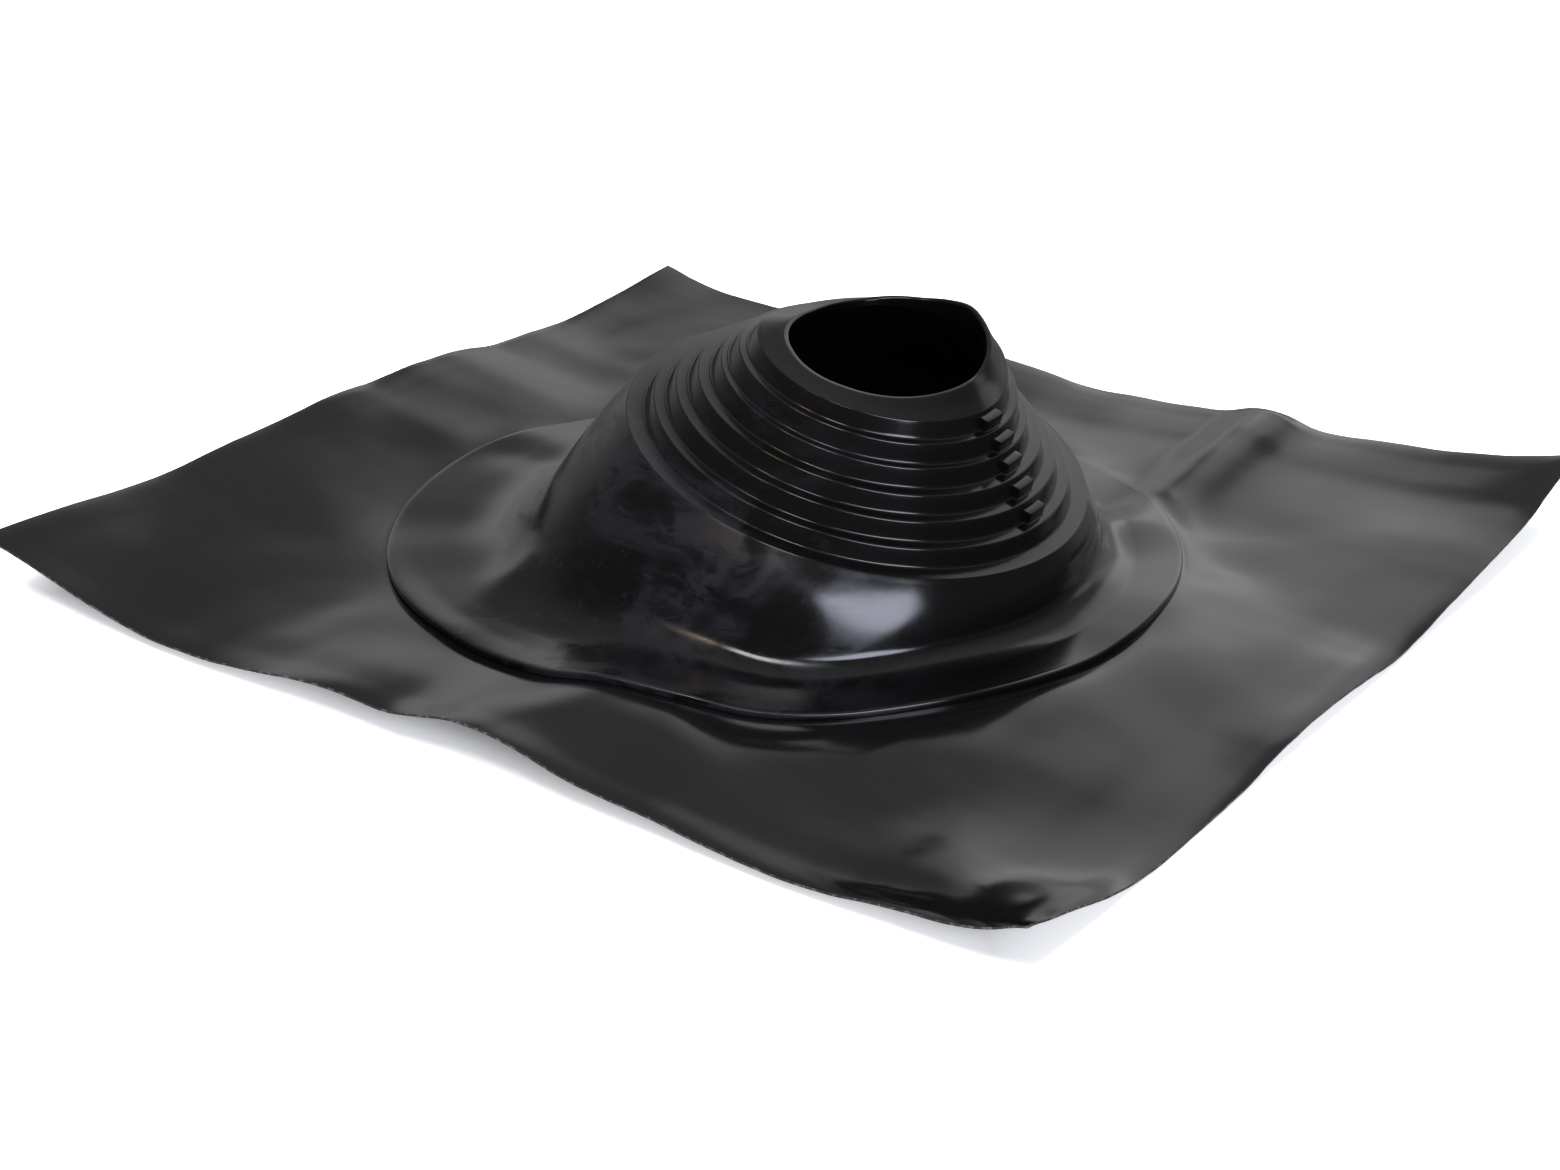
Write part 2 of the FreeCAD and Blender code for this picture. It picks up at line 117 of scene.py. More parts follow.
# Soft creases of the sheet: start, end, height, half width.
CREASES = ((123.0, 75.0, 104.0, 255.0, 2.2, 9.0), (111.0, 67.0, 92.0, 255.0, 0.6, 8.0),
           (147.0, 69.0, 253.0, 36.0, 0.7, 12.0), (150.0, 52.0, 250.0, 18.0, 0.3, 12.0),
           (205.0, 60.0, 240.0, 200.0, 1.2, 18.0), (225.0, 170.0, 235.0, 215.0, -0.6, 16.0),
           (-165.0, 98.0, -247.0, 112.0, -0.4, 12.0), (-168.0, 75.0, -247.0, 89.0, -0.3, 12.0),
           (-112.0, -163.0, -114.0, -211.0, -0.4, 8.0), (145.0, -181.0, 149.0, -88.0, 0.3, 6.0),
           (133.0, -176.0, 137.0, -84.0, 0.4, 6.0), (160.0, -176.0, 164.0, -84.0, 0.6, 8.0),
           (178.0, -228.0, 211.0, -222.0, -1.5, 9.0), (211.0, -222.0, 238.0, -195.0, 0.7, 9.0),
           (165.0, -205.0, 228.0, -165.0, 0.2, 14.0), (60.0, -190.0, 110.0, -215.0, 0.3, 12.0),
           (70.0, -200.0, 130.0, -160.0, 0.4, 14.0))
LOW = 0.11787


# ------------------------------------------------------------- small helpers
def smooth(t):
    t = min(max(t, 0.0), 1.0)
    return t * t * (3 - 2 * t)


def window(deg, mid, half):
    d = abs((deg - mid + 180.0) % 360.0 - 180.0)
    return math.cos(d / half * math.pi / 2) ** 2 if d < half else 0.0


def spline(vals, t, closed):
    n = len(vals)
    if closed:
        p = t * n
        i = int(math.floor(p))
        f = p - i
        a, b, c, d = (vals[(i + k) % n] for k in (-1, 0, 1, 2))
    else:
        p = min(max(t, 0.0), 1.0) * (n - 1)
        i = min(int(p), n - 2)
        f = p - i
        a, b, c, d = (vals[min(max(i + k, 0), n - 1)] for k in (-1, 0, 1, 2))
    return b + 0.5 * f * (c - a + f * (2 * a - 5 * b + 4 * c - d + f * (3 * (b - c) + d - a)))


# ------------------------------------------------------------- sheet heights
def features(x, y):
    z = 0.0
    for x0, y0, x1, y1, amp, half in RIDGES:
        dx, dy = x1 - x0, y1 - y0
        ln = math.hypot(dx, dy)
        along = ((x - x0) * dx + (y - y0) * dy) / ln
        off = ((x - x0) * dy - (y - y0) * dx) / ln
        z += amp * smooth(along / 45.0 + 0.5) * math.exp(-0.5 * (off / half) ** 2)
    return z


def crease(x, y, x0, y0, x1, y1, amp, half):
    """A long soft ridge, or a groove for a height below 0, that fades at both ends."""
    dx, dy = x1 - x0, y1 - y0
    ln = math.hypot(dx, dy)
    along = ((x - x0) * dx + (y - y0) * dy) / ln
    off = ((x - x0) * dy - (y - y0) * dx) / ln
    if abs(off) > 5 * half or along < -20.0 or along > ln + 20.0:
        return 0.0
    return (amp * smooth(along / 40.0 + 0.5) * smooth((ln - along) / 40.0 + 0.5)
            * math.exp(-0.5 * (off / half) ** 2))


def relief(x, y, t, s):
    """Waves and creases between the flange, where s is 0, and the edge, where it is 1."""
    g = s * (1 - s)
    z = 4 * g * spline(BOW_1, t, True) + 10 * g * (1 - 2 * s) * spline(BOW_2, t, True)
    z += 16 * g * (1 - 5 * s + 5 * s * s) * spline(BOW_3, t, True)
    fade = smooth(s / 0.12) * smooth((1 - s) / 0.08)
    if fade > 0:
        z += fade * sum(crease(x, y, *c) for c in CREASES)
    return z


def plan(u, v):
    a, b, c, d = CORNER_L, CORNER_F, CORNER_R, CORNER_B
    return tuple((1 - v) * ((1 - u) * a[i] + u * b[i]) + v * ((1 - u) * d[i] + u * c[i])
                 for i in (0, 1))


def unplan(x, y):
    u, v = (x + 250.0) / 500.0, (y + 240.0) / 480.0
    for _ in range(4):
        px, py = plan(u, v)
        u += (x - px) / 498.0
        v += (y - py) / 480.0
    return min(max(u, 0.0), 1.0), min(max(v, 0.0), 1.0)


def edge_net(u, v):
    def prof(vals, t, uu, vv):
        return spline(vals, t, False) - features(*plan(uu, vv))
    lf, br = prof(EDGE_LF, u, u, 0), prof(EDGE_BR, u, u, 1)
    lb, fr = prof(EDGE_LB, v, 0, v), prof(EDGE_FR, v, 1, v)
    c00, c10 = prof(EDGE_LF, 0, 0, 0), prof(EDGE_LF, 1, 1, 0)
    c01, c11 = prof(EDGE_BR, 0, 0, 1), prof(EDGE_BR, 1, 1, 1)
    return ((1 - v) * lf + v * br + (1 - u) * lb + u * fr
            - (1 - u) * (1 - v) * c00 - u * (1 - v) * c10 - (1 - u) * v * c01 - u * v * c11)


SIDES = ((CORNER_L, CORNER_F), (CORNER_F, CORNER_R), (CORNER_B, CORNER_R), (CORNER_L, CORNER_B))


def way_out(x, y, r):
    """0 at the flange's rim, 1 at the sheet's edge, smooth between."""
    near = 0.0
    for (ax, ay), (bx, by) in SIDES:
        ex, ey = bx - ax, by - ay
        d = abs(ex * (y - ay) - ey * (x - ax)) / math.hypot(ex, ey)
        if d < 1e-4:
            return 1.0
        near += d ** -3
    return (r - FLANGE_R) / (r - FLANGE_R + near ** (-1 / 3))


def sheet_z(x, y):
    """Height of the sheet's underside."""
    dx, dy = x - BOOT_X, y - BOOT_Y
    r = math.hypot(dx, dy)
    if r < 1.0:
        dx, r = 1.0, 1.0
    cx, cy = dx / r, dy / r
    rx, ry = BOOT_X + FLANGE_R * cx, BOOT_Y + FLANGE_R * cy
    turn = (math.degrees(math.atan2(cy, cx)) + 180.0) / 360.0
    z_rim = spline(RIM_Z, turn, True)
    z_rim -= FLANGE_T + SHEET_T + features(rx, ry)
    if r < FLANGE_R:
        k = (r / FLANGE_R) ** 2
        z = UNDER_Z + (z_rim - UNDER_Z) * k + features(x, y) * k
    else:
        s = way_out(x, y, r)
        w = 0.55 * s + 0.45 * s * s * (3 - 2 * s)
        z = z_rim + (edge_net(*unplan(x, y)) - z_rim) * w + features(x, y) + relief(x, y, turn, s)
    return 0.5 * (z + math.sqrt(z * z + 1.0)) - LOW


FOLDS = ((-68.0, -104.0, -57.0, -136.0, 2.6, 9.0),)


def fine(x, y):
    """Small dents and creases of the hand-bent sheet, outside the flange only."""
    r = math.hypot(x - BOOT_X, y - BOOT_Y)
    if r <= FLANGE_R:
        return 0.0
    z = 0.3 * noise.noise(Vector((x / 46.0, y / 46.0, 3.1)))
    z += 0.1 * noise.noise(Vector((x / 21.0, y / 21.0, 8.7)))
    return z * smooth((r - FLANGE_R) / 16.0)


def flange_top(x, y):
    return sheet_z(x, y) + SHEET_T + FLANGE_T


# ------------------------------------------------------------- mesh making
def make_mesh(name, verts, faces, mats=None, sharp_deg=42.0):
    me = bpy.data.meshes.new(name)
    me.from_pydata([(x * MM, y * MM, z * MM) for x, y, z in verts], [], faces)
    me.validate()
    me.polygons.foreach_set("use_smooth", [True] * len(me.polygons))
    if mats:
        me.polygons.foreach_set("material_index", mats)
    me.set_sharp_from_angle(angle=math.radians(sharp_deg))
    me.update()
    ob = bpy.data.objects.new(name, me)
    scene.collection.objects.link(ob)
    return ob


# ------------------------------------------------------------- sheet
def sheet_piece():
    corners = (CORNER_L, CORNER_F, CORNER_R, CORNER_B)
    per = 122
    rim = []
    for i in range(4):
        a, b = corners[i], corners[(i + 1) % 4]
        for k in range(per):
            t = k / per
            rim.append((a[0] + (b[0] - a[0]) * t, a[1] + (b[1] - a[1]) * t, i, t))
    cols = len(rim)
    rows_in, rows_out = 4, 80
    top, bottom = [], []
    for bx, by, side, t in rim:
        ex, ey = bx - HOLE_X, by - BOOT_Y
        ln = math.hypot(ex, ey)
        ux, uy = ex / ln, ey / ln
        # a hand-cut edge is never quite straight
        wob = 0.55 * noise.noise(Vector((bx / 31.0, by / 31.0, 1.7)))
        wob += 0.25 * noise.noise(Vector((bx / 9.0, by / 9.0, 5.2)))
        wob *= smooth(min(t, 1 - t) * 12)
        col_t, col_b = [], []
        for j in range(rows_in + rows_out + 1):
            if j <= rows_in:
                r = HOLE_R + (158.0 - HOLE_R) * j / rows_in
            else:
                r = 158.0 + (ln - 158.0) * (j - rows_in) / rows_out
            x, y = HOLE_X + ux * r, BOOT_Y + uy * r
            z = max(sheet_z(x, y) + fine(x, y), 0.02)
            r += wob * smooth((r - ln + 8.0) / 8.0)
            x, y = HOLE_X + ux * r, BOOT_Y + uy * r
            col_t.append((x, y, z + SHEET_T))
            col_b.append((x, y, z))
        top.append(col_t)
        bottom.append(col_b)
    rows = rows_in + rows_out + 1
    verts = [p for c in top for p in c] + [p for c in bottom for p in c]
    off = cols * rows
    faces, mats = [], []
    for i in range(cols):
        k = (i + 1) % cols
        for j in range(rows - 1):
            faces.append((i * rows + j, i * rows + j + 1, k * rows + j + 1, k * rows + j))
            faces.append((off + i * rows + j, off + k * rows + j, off + k * rows + j + 1,
                          off + i * rows + j + 1))
            mats += [0, 0]
        j = rows - 1
        faces.append((i * rows + j, off + i * rows + j, off + k * rows + j, k * rows + j))
        faces.append((i * rows, k * rows, off + k * rows, off + i * rows))
        mats += [1, 1]
    return make_mesh("coated_sheet", verts, faces, mats)


# ------------------------------------------------------------- boot
AZ, TILT = math.radians(LEAN_AZ_DEG), math.radians(LEAN_DEG)
N = Vector((math.sin(TILT) * math.cos(AZ), math.sin(TILT) * math.sin(AZ), math.cos(TILT)))
E1 = Vector((math.cos(TILT) * math.cos(AZ), math.cos(TILT) * math.sin(AZ), -math.sin(TILT)))
E2 = N.cross(E1)
C0 = Vector(LIP_C)


# The soft mouth has sagged out of round: height and radius of its rim every 15 degrees.
RIM_SAG_H = (46.0, 46.0, 46.0, 46.0, 46.0, 45.7, 45.7, 46.0, 46.5, 47.5, 48.8, 50.2, 51.3, 52.3,
             55.5, 57.8, 58.8, 59.2, 56.0, 52.3, 49.6, 46.5, 46.0, 46.0)
RIM_SAG_R = (36.2, 37.6, 39.2, 40.5, 41.2, 41.8, 41.8, 41.2, 41.0, 41.0, 41.0, 41.0, 41.0, 41.0,
             41.5, 41.5, 42.0, 42.5, 42.5, 41.5, 41.0, 41.0, 38.6, 36.8)


def steps_of(table, h):
    if h <= table[0][0]:
        return table[0][1]
    for (h0, v0), (h1, v1) in zip(table, table[1:]):
        if h <= h1:
            return v0 + (v1 - v0) * (h - h0) / (h1 - h0)
    return table[-1][1]


def give(deg, h):
    """How the soft cone sags out of round: change of radius and of height."""
    t = (deg + 180.0) / 360.0
    rim_dr = spline(RIM_SAG_R, t, True) - (MOUTH_R + 0.5 * MOUTH_RIM)
    rim_dh = spline(RIM_SAG_H, t, True) - MOUTH_H
    left = window(deg, 165.0, 62.0) * steps_of(
        ((14.0, 0.0), (21.9, 0.12), (29.4, 0.29), (37.0, 0.57), (43.5, 1.0)), h)
    right = window(deg, 62.0, 62.0) * steps_of(
        ((21.9, 0.0), (29.4, 0.05), (37.0, 0.2), (43.5, 0.55)), h)
    dr, dh = -3.5 * left, -3.0 * left + rim_dh * right
    up = min(max((h - 43.5) / (MOUTH_H - 43.5), 0.0), 1.0)
    return dr + (rim_dr - dr) * up, dh + (rim_dh - dh) * up


def ring_point(r, h, th):
    dr, dh = give(math.degrees(th), h)
    r += dr
    h += dh
    return C0 + N * h + E1 * (r * math.cos(th)) + E2 * (r * math.sin(th))


def lift(deg):
    """The flange's rim stands a little off the sheet at its left front."""
    return 0.9 * window(deg, -118.0, 40.0)


def around(vals, th):
    return spline(vals, math.degrees(th) / 360.0 + 0.5, True)


class Skin:
    def __init__(self, lip_r, lip_h, inset, drop, shrink, end_drop):
        self.lip_r, self.lip_h, self.inset = lip_r, lip_h, inset
        self.drop, self.shrink, self.end_drop = drop, shrink, end_drop

    def foot(self, th):
        r = around(FOOT_R, th) - self.inset
        x, y = FOOT_X + r * math.cos(th), BOOT_Y + r * math.sin(th)
        return Vector((x, y, flange_top(x, y) + around(FOOT_H, th) - self.drop))

    def end(self, th):
        r = around(END_R, th) - self.shrink
        x, y = FOOT_X + r * math.cos(th), BOOT_Y + r * math.sin(th)
        return Vector((x, y, flange_top(x, y) - self.end_drop))

    def wall(self, th, s, p, q):
        run = q - p
        out = Vector((math.cos(th), math.sin(th), 0))
        out = (out - run * (out.dot(run) / run.dot(run))).normalized()
        return p + run * s + out * (around(BULGE, th) * run.length * math.sin(math.pi * s))

    def fillet(self, th, t, p, q, e):
        """From the foot q to the flange at e, starting along the wall that comes from p."""
        run = q - p
        out = Vector((math.cos(th), math.sin(th), 0))
        out = (out - run * (out.dot(run) / run.dot(run))).normalized()
        run = run - out * (around(BULGE, th) * run.length * math.pi)
        lead = math.hypot(run.x, run.y) * (q.z - e.z - 0.8) / -run.z
        if run.x * math.cos(th) + run.y * math.sin(th) < 0:
            lead = 0.0
        lead = min(max(lead, 1.5), 0.45 * math.hypot(e.x - q.x, e.y - q.y))
        m = Vector((q.x + lead * math.cos(th), q.y + lead * math.sin(th), e.z + 0.8))
        return q * ((1 - t) ** 2) + m * (2 * t * (1 - t)) + e * (t * t)


OUTER = Skin(97.76, -0.6, 0.0, 0.0, 0.0, 0.0)
INNER = Skin(RING_R[0] - 3.2, -4.6, 2.4, 0.6, 4.5, 2.4)


def fold(x, y):
    """Soft folds of the moulded foot where it is bent with the sheet."""
    return sum(crease(x, y, *c) for c in FOLDS)


def rounded(a, b, c, rad, n):
    """n points of the arc that rounds the corner b of the path a, b, c."""
    u = ((a[0] - b[0]), (a[1] - b[1]))
    w = ((c[0] - b[0]), (c[1] - b[1]))
    lu, lw = math.hypot(*u), math.hypot(*w)
    u, w = (u[0] / lu, u[1] / lu), (w[0] / lw, w[1] / lw)
    half = math.acos(max(-1.0, min(1.0, u[0] * w[0] + u[1] * w[1]))) / 2
    d = min(rad / math.tan(half), 0.48 * lu, 0.48 * lw)
    rad = d * math.tan(half)
    m = (u[0] + w[0], u[1] + w[1])
    lm = math.hypot(*m)
    cx, cy = b[0] + m[0] / lm * rad / math.sin(half), b[1] + m[1] / lm * rad / math.sin(half)
    a0 = math.atan2(b[1] + u[1] * d - cy, b[0] + u[0] * d - cx)
    a1 = math.atan2(b[1] + w[1] * d - cy, b[0] + w[0] * d - cx)
    while a1 - a0 > math.pi:
        a1 -= 2 * math.pi
    while a1 - a0 < -math.pi:
        a1 += 2 * math.pi
    return [(cx + rad * math.cos(a0 + (a1 - a0) * i / (n - 1)),
             cy + rad * math.sin(a0 + (a1 - a0) * i / (n - 1))) for i in range(n)]


def cone_path():
    """Outer path of the stepped cone as (radius, height, step, role)."""
    corners = [(RING_R[0] + 1.7, -2.2), (RING_R[0], RING_H[0])]
    for k in range(6):
        corners.append((RING_R[k + 1] + RING_BATTER, RING_H[k]))
        corners.append((RING_R[k + 1], RING_H[k + 1]))
    corners.append((MOUTH_R + MOUTH_RIM, MOUTH_H))
    path = []
    for i in range(1, len(corners) - 1):
        a, b, c = corners[i - 1], corners[i], corners[i + 1]
        if i % 2 == 1:
            path += [(r, h, None, None) for r, h in rounded(a, b, c, 0.8 if i > 1 else 0.6, 6)]
        else:
            k = i // 2 - 1
            path += [(r, h, k, "foot") for r, h in rounded(a, b, c, 0.9, 4)]
            slope = (c[0] - b[0]) / (c[1] - b[1])
            for dh, role in ((1.4, "face"), (TAB_H - 0.5, "face"), (TAB_H - 0.14, "edge"),
                             (TAB_H, "crown"), (TAB_H + 0.12, "wall")):
                path.append((b[0] + slope * dh, b[1] + dh, k, role))
    for t in (0.25, 0.5, 0.75):
        a, b = corners[-2], corners[-1]
        path.append((a[0] + (b[0] - a[0]) * t, a[1] + (b[1] - a[1]) * t - 0.35 * math.sin(math.pi * t),
                     None, None))
    path += [(r, h, None, None) for r, h in
             rounded(corners[-2], corners[-1], (MOUTH_R, MOUTH_H), 0.8, 5)]
    path += [(r, h, None, None) for r, h in
             rounded(corners[-1], (MOUTH_R, MOUTH_H), (MOUTH_R, MOUTH_H - MOUTH_LEN), 0.7, 4)]
    path.append((MOUTH_R, MOUTH_H - MOUTH_LEN, None, None))
    for k in range(5, -1, -1):
        path.append((RING_R[k + 1] - WALL_T, RING_H[k + 1] - 2.4, None, None))
        path.append((RING_R[k + 1] + RING_BATTER - WALL_T, RING_H[k] - 2.4, None, None))
    return path


CONE = cone_path()
TAB_HALF = [math.degrees(TAB_W / 2 / (RING_R[k + 2] + RING_BATTER)) for k in range(5)]


def cone_points(deg):
    th = math.radians(deg)
    pts = []
    for r, h, k, role in CONE:
        if k is not None and k >= 1 and role is not None:
            tab = abs(deg - TAB_DEG[k - 1]) < TAB_HALF[k - 1]
            if tab:
                face = RING_R[k + 1] + RING_BATTER + TAB_OUT
                if role == "foot":
                    r += TAB_OUT
                elif role == "face":
                    r = face
                elif role == "edge":
                    r = face - 0.14
                elif role == "crown":
                    r = face - 0.5
        pts.append(ring_point(r, h, th))
    return pts


def boot_columns():
    edges = []
    for d, w in zip(TAB_DEG, TAB_HALF):
        for e in (d - w, d + w):
            edges += [e - 0.14, e + 0.14]
    degs = sorted(edges)
    base = [i * 0.9 - 180.0 for i in range(400)]
    keep = [b for b in base if min(abs(b - e) for e in degs) > 0.25]
    return sorted(keep + degs)


def boot_piece():
    degs = boot_columns()
    cols = []
    for deg in degs:
        th = math.radians(deg)
        c, s = math.cos(th), math.sin(th)
        pts = []
        # underside of the flange, from the inside out
        e_in = INNER.end(th)
        inner_x, inner_y = e_in.x + 2.0 * c, e_in.y + 2.0 * s
        rim_x, rim_y = BOOT_X + FLANGE_R * c, BOOT_Y + FLANGE_R * s
        up = lift(deg)
        for t in (0.0, 0.35, 0.65, 0.85, 0.97):
            x, y = inner_x + (rim_x - inner_x) * t, inner_y + (rim_y - inner_y) * t
            pts.append(Vector((x, y, flange_top(x, y) - FLANGE_T - 0.15 + up * smooth((t - 0.4) / 0.6))))
        # rim
        z = flange_top(rim_x, rim_y) + up
        for dr, dz in ((-0.4, -FLANGE_T - 0.12), (0.0, -FLANGE_T + 0.3), (0.0, -1.0), (-0.09, -0.62),
                       (-0.29, -0.29), (-0.62, -0.09), (-1.0, 0.0)):
            pts.append(Vector((rim_x + dr * c, rim_y + dr * s, z + dz)))
        # top of the flange, from the rim in
        e = OUTER.end(th)
        n = 13
        for i in range(1, n):
            t = i / n
            x = rim_x - 1.0 * c + (e.x - rim_x + 1.0 * c) * t
            y = rim_y - 1.0 * s + (e.y - rim_y + 1.0 * s) * t
            pts.append(Vector((x, y, flange_top(x, y) + fold(x, y) + up * smooth((0.6 - t) / 0.6))))
        # foot of the dome
        p = ring_point(OUTER.lip_r, OUTER.lip_h, th)
        q = OUTER.foot(th)
        n = 14
        for i in range(n):
            f = OUTER.fillet(th, 1 - i / n, p, q, e)
            f.z += fold(f.x, f.y) * smooth((n - i) / n * 3.0)
            pts.append(f)
        # dome
        n = 28
        for i in range(n):
            pts.append(OUTER.wall(th, 1 - i / n, p, q))
        # stepped cone, outside and inside
        pts += cone_points(deg)
        # inside of the dome, down to the flange
        p = ring_point(INNER.lip_r, INNER.lip_h, th)
        q = INNER.foot(th)
        n = 9
        for i in range(n):
            pts.append(INNER.wall(th, i / n, p, q))
        n = 6
        for i in range(n + 1):
            pts.append(INNER.fillet(th, i / n, p, q, e_in))
        cols.append(pts)
    m = len(cols[0])
    inside = m - 7 - 9 - 14
    verts = [tuple(p) for col in cols for p in col]
    faces, mats = [], []
    for i in range(len(cols)):
        k = (i + 1) % len(cols)
        for j in range(m):
            l = (j + 1) % m
            faces.append((i * m + j, k * m + j, k * m + l, i * m + l))
            mats.append(1 if j >= inside else 0)
    return make_mesh("rubber_boot_skin", verts, faces, mats, sharp_deg=38.0)


# ------------------------------------------------------------- materials
class Nodes:
    def __init__(self, name):
        self.mat = bpy.data.materials.new(name)
        self.mat.use_nodes = True
        self.tree = self.mat.node_tree
        self.bsdf = self.tree.nodes["Principled BSDF"]
        self.coord = self.tree.nodes.new("ShaderNodeTexCoord")

    def link(self, a, b):
        self.tree.links.new(a, b)

    def noise(self, scale, detail=4.0, rough=0.55, distort=0.0, stretch=(1, 1, 1)):
        t = self.tree.nodes.new("ShaderNodeTexNoise")
        t.inputs["Scale"].default_value = scale
        t.inputs["Detail"].default_value = detail
        t.inputs["Roughness"].default_value = rough
        t.inputs["Distortion"].default_value = distort
        m = self.tree.nodes.new("ShaderNodeMapping")
        m.inputs["Scale"].default_value = stretch
        self.link(self.coord.outputs["Object"], m.inputs["Vector"])
        self.link(m.outputs["Vector"], t.inputs["Vector"])
        return t.outputs["Fac"]

    def rng(self, value, a, b, c, d):
        n = self.tree.nodes.new("ShaderNodeMapRange")
        n.interpolation_type = "SMOOTHSTEP"
        for k, v in zip(("From Min", "From Max", "To Min", "To Max"), (a, b, c, d)):
            n.inputs[k].default_value = v
        self.link(value, n.inputs["Value"])
        return n.outputs["Result"]

    def math(self, op, a, b):
        n = self.tree.nodes.new("ShaderNodeMath")
        n.operation = op
        for i, v in enumerate((a, b)):
            if isinstance(v, (int, float)):
                n.inputs[i].default_value = v
            else:
                self.link(v, n.inputs[i])
        return n.outputs["Value"]

    def mix(self, fac, a, b):
        n = self.tree.nodes.new("ShaderNodeMix")
        n.data_type = "RGBA"
        self.link(fac, n.inputs["Factor"])
        for sock, v in ((n.inputs[6], a), (n.inputs[7], b)):
            if isinstance(v, tuple):
                sock.default_value = (*v, 1.0)
            else:
                self.link(v, sock)
        return n.outputs[2]

    def side(self, direction, a, b):
        """0 to 1 along a direction of the object's own space."""
        d = self.tree.nodes.new("ShaderNodeVectorMath")
        d.operation = "DOT_PRODUCT"
        d.inputs[1].default_value = direction
        self.link(self.coord.outputs["Object"], d.inputs[0])
        return self.rng(d.outputs["Value"], a, b, 0.0, 1.0)

    def bump(self, height, strength, distance, normal=None):
        n = self.tree.nodes.new("ShaderNodeBump")
        n.inputs["Strength"].default_value = strength
        n.inputs["Distance"].default_value = distance
        self.link(height, n.inputs["Height"])
        if normal is not None:
            self.link(normal, n.inputs["Normal"])
        return n.outputs["Normal"]


def rubber_material():
    m = Nodes("black_rubber")
    # hazy bluish residue of the mould in torn clouds, with fine veins
    flat = (1.0, 1.0, 2.2)
    cloud = m.rng(m.noise(13.0, 3.0, 0.55, 0.9, flat), 0.45, 0.60, 0.0, 1.0)
    torn = m.rng(m.noise(36.0, 5.0, 0.62, 0.7, flat), 0.38, 0.56, 0.1, 1.0)
    wipe = m.rng(m.noise(30.0, 4.0, 0.6, 0.4, (1.0, 1.0, 5.0)), 0.46, 0.66, 0.0, 1.0)
    part = m.math("MULTIPLY", m.side((-0.62, -0.77, -0.15), -0.03, 0.09), m.side((1.0, 0.0, 0.0), -0.105, -0.06))
    haze = m.math("MULTIPLY", m.math("MULTIPLY", cloud, torn), part)
    haze = m.math("ADD", haze, m.math("MULTIPLY", m.math("MULTIPLY", wipe, part), 0.22))
    vein = m.rng(m.math("ABSOLUTE", m.math("SUBTRACT", m.noise(21.0, 3.0, 0.6, 1.2), 0.5), 0.0),
                 0.0, 0.011, 1.0, 0.0)
    vein = m.math("MULTIPLY", m.math("MULTIPLY", vein, torn), part)
    haze = m.math("MAXIMUM", haze, m.math("MULTIPLY", vein, 0.7))
    base = m.mix(haze, (0.0028, 0.0028, 0.0029), (0.014, 0.0147, 0.0195))
    m.link(base, m.bsdf.inputs["Base Color"])
    grain = m.noise(900.0, 3.0, 0.6)
    rough = m.math("ADD", m.rng(grain, 0.3, 0.7, 0.11, 0.145), m.math("MULTIPLY", haze, 0.22))
    m.link(rough, m.bsdf.inputs["Roughness"])
    m.bsdf.inputs["IOR"].default_value = 1.5
    normal = m.bump(m.noise(120.0, 3.0, 0.5), 0.05, 0.0005)
    m.link(normal, m.bsdf.inputs["Normal"])
    return m.mat


# Painted shade: the inside is the same rubber as the outside, given a far darker base colour because it lies in
# shade.
def shaded_inside_material():
    m = Nodes("black_rubber_inside_painted_shade")
    dull = m.noise(60.0, 4.0, 0.6)
    m.link(m.mix(dull, (0.0006, 0.0006, 0.0006), (0.0014, 0.0014, 0.0014)), m.bsdf.inputs["Base Color"])
    m.link(m.rng(dull, 0.3, 0.7, 0.6, 0.75), m.bsdf.inputs["Roughness"])
    m.bsdf.inputs["Specular IOR Level"].default_value = 0.06
    return m.mat


def sheet_material():
    m = Nodes("black_coated_sheet")
    cloud = m.rng(m.noise(9.0, 4.0, 0.55, 0.4), 0.35, 0.7, 0.0, 1.0)
    streak = m.rng(m.noise(60.0, 5.0, 0.6, 0.2, (0.12, 1.0, 1.0)), 0.4, 0.75, 0.0, 1.0)
    dust = m.rng(m.noise(2200.0, 2.0, 0.5), 0.66, 0.74, 0.0, 1.0)
    tone = m.math("ADD", m.math("MULTIPLY", cloud, 0.6), m.math("MULTIPLY", streak, 0.4))
    base = m.mix(tone, (0.0055, 0.0055, 0.0058), (0.0085, 0.0085, 0.009))
    base = m.mix(m.math("MULTIPLY", dust, 0.3), base, (0.035, 0.035, 0.037))
    m.link(base, m.bsdf.inputs["Base Color"])
    rough = m.math("ADD", m.rng(tone, 0.0, 1.0, 0.11, 0.15), m.math("MULTIPLY", dust, 0.06))
    m.link(rough, m.bsdf.inputs["Roughness"])
    m.bsdf.inputs["IOR"].default_value = 1.5
    normal = m.bump(m.noise(34.0, 2.0, 0.5), 0.06, 0.0012)
    m.link(normal, m.bsdf.inputs["Normal"])
    return m.mat


def edge_material():
    m = Nodes("cut_sheet_edge")
    chips = m.rng(m.noise(420.0, 4.0, 0.65), 0.52, 0.64, 0.0, 1.0)
    base = m.mix(chips, (0.03, 0.03, 0.031), (0.33, 0.33, 0.34))
    m.link(base, m.bsdf.inputs["Base Color"])
    m.link(m.rng(chips, 0.0, 1.0, 0.5, 0.38), m.bsdf.inputs["Roughness"])
    m.link(m.math("MULTIPLY", chips, 0.8), m.bsdf.inputs["Metallic"])
    return m.mat


